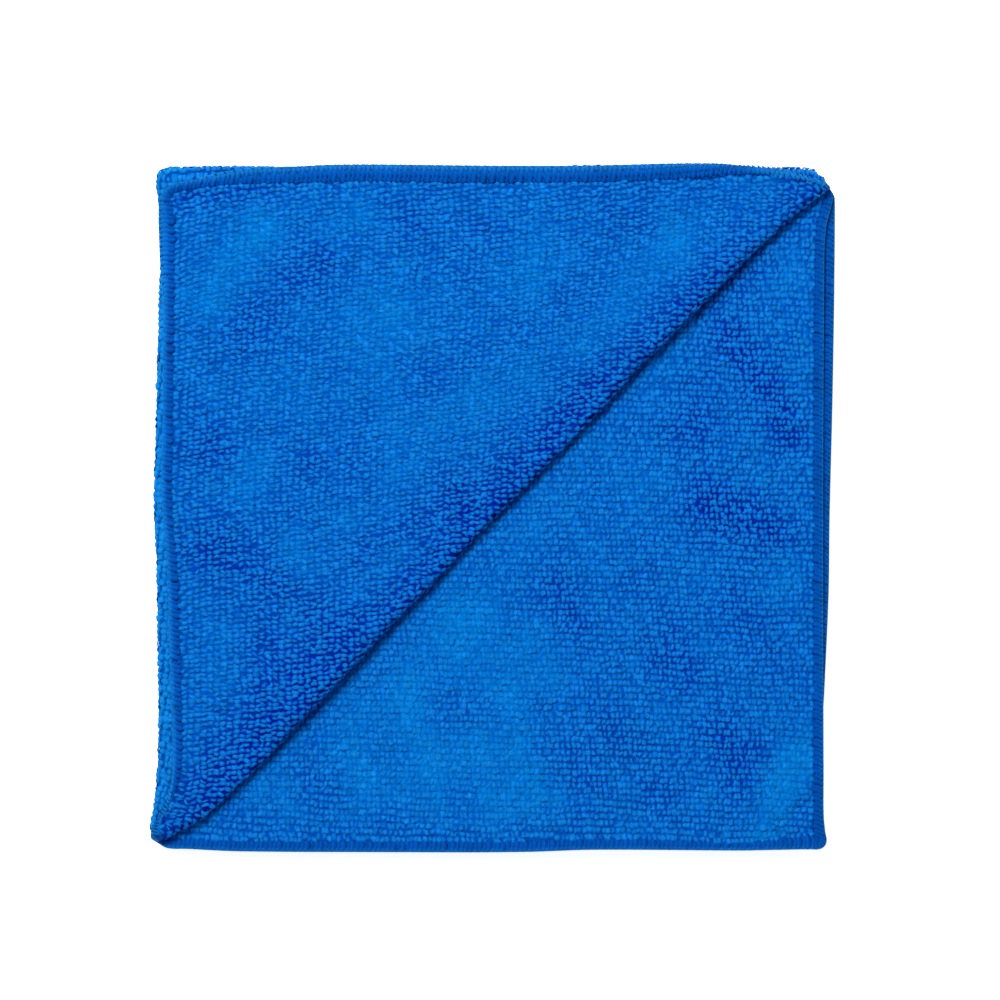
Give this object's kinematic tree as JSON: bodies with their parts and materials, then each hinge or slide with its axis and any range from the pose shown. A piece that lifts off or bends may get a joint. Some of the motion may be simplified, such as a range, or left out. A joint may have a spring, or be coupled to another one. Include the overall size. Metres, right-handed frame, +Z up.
{
  "type": "folded microfibre cloth",
  "caption": "Square terry cleaning cloth, folded in quarters, with the top layer's free corner turned back over the diagonal.",
  "frame": {"origin": "on the surface that the folded cloth lies on, under the middle of its outline", "axes": "+Z up out of the surface, +X from the folded left edge to the hems at the right, +Y from the hems at the front to the folded back edge"},
  "size_m": [0.2002, 0.201, 0.0142],
  "materials": {
    "looped_pile": "soft looped pile, matt with a faint sheen"
  },
  "bodies": {
    "root": {"cloth": "looped_pile"}
  },
  "joints": []
}
